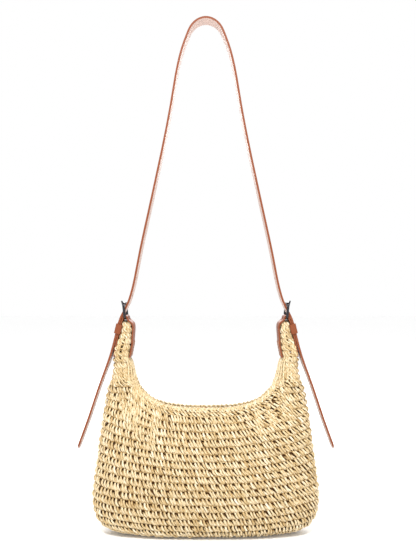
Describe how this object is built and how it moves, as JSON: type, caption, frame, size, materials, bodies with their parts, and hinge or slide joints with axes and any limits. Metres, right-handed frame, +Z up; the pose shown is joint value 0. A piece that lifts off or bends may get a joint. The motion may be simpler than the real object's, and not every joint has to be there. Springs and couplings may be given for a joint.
{
  "type": "hobo bag",
  "caption": "Crocheted straw hobo bag hanging from an adjustable leather strap with a pronged buckle and a keeper at each ear.",
  "frame": {"origin": "middle of the strap's underside at its highest point, where a hook carries the bag", "axes": "+Z up, -Y towards the bag's front, +X to the right seen from the front"},
  "size_m": [0.3578, 0.0962, 0.7158],
  "materials": {
    "raffia": "matte",
    "leather": "satin",
    "thread": "matte",
    "gunmetal": "satin",
    "snap_metal": "satin",
    "lining_cloth": "matte"
  },
  "bodies": {
    "strap": {"strap": "leather", "left_tab": "leather", "left_ear_core": "raffia", "left_tab_stitches": "thread", "right_tab": "leather", "right_ear_core": "raffia", "right_tab_stitches": "thread"},
    "bag": {"crochet_body": "raffia", "front_rim_edging": "raffia", "back_rim_edging": "raffia", "lining": "lining_cloth", "slip_pocket": "lining_cloth", "front_snap_patch": "leather", "back_snap_patch": "leather", "snap_stud": "snap_metal", "snap_socket": "snap_metal"},
    "left_buckle": {"left_buckle_frame": "gunmetal"},
    "left_prong": {"left_prong": "gunmetal"},
    "left_keeper": {"left_keeper": "leather"},
    "right_buckle": {"right_buckle_frame": "gunmetal"},
    "right_prong": {"right_prong": "gunmetal"},
    "right_keeper": {"right_keeper": "leather"}
  },
  "joints": [
    {"name": "bag_swing", "type": "hinge", "parent": "strap", "child": "bag", "pos_m": [0, 0, -0.484], "axis": [1, 0, 0], "range_deg": [-90, 90]},
    {"name": "left_buckle_pivot", "type": "hinge", "parent": "strap", "child": "left_buckle", "pos_m": [-0.1117, 0, -0.4145], "axis": [0, -1, 0], "range_deg": [-3, 5]},
    {"name": "left_prong_pivot", "type": "hinge", "parent": "left_buckle", "child": "left_prong", "pos_m": [-0.1117, 0, -0.4145], "axis": [0, -1, 0], "range_deg": [0, 12]},
    {"name": "left_keeper_slide", "type": "slide", "parent": "strap", "child": "left_keeper", "axis": [-0.2334, 0, -0.9724], "range_m": [0, 0.005]},
    {"name": "right_buckle_pivot", "type": "hinge", "parent": "strap", "child": "right_buckle", "pos_m": [0.1117, 0, -0.4145], "axis": [0, 1, 0], "range_deg": [-3, 5]},
    {"name": "right_prong_pivot", "type": "hinge", "parent": "right_buckle", "child": "right_prong", "pos_m": [0.1117, 0, -0.4145], "axis": [0, 1, 0], "range_deg": [0, 12]},
    {"name": "right_keeper_slide", "type": "slide", "parent": "strap", "child": "right_keeper", "axis": [0.2334, 0, -0.9724], "range_m": [0, 0.005]}
  ]
}
